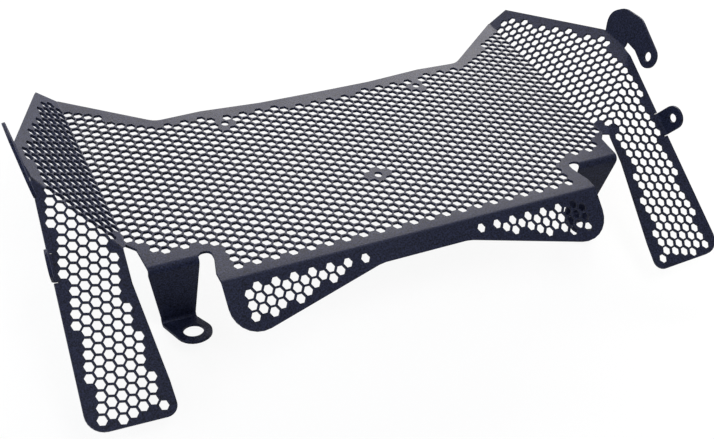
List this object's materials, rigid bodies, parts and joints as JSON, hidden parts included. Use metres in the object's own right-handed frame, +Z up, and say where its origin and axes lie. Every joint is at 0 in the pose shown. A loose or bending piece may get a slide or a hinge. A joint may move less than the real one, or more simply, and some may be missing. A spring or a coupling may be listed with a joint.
{
  "type": "motorcycle radiator guard",
  "caption": "Folded perforated sheet-metal guard with hexagonal holes, wings, legs, hook ears and brackets, that bolts in front of a motorcycle radiator.",
  "frame": {"origin": "on the surface the guard lies on, below the middle of its bounding box", "axes": "+X towards the guard's right as seen from its front, +Y towards its upper edge, +Z up, out of its front"},
  "size_m": [0.4652, 0.2636, 0.0902],
  "materials": {
    "powder_coat": "fine-textured satin black powder coat"
  },
  "bodies": {
    "root": {"guard": "powder_coat"}
  },
  "joints": []
}
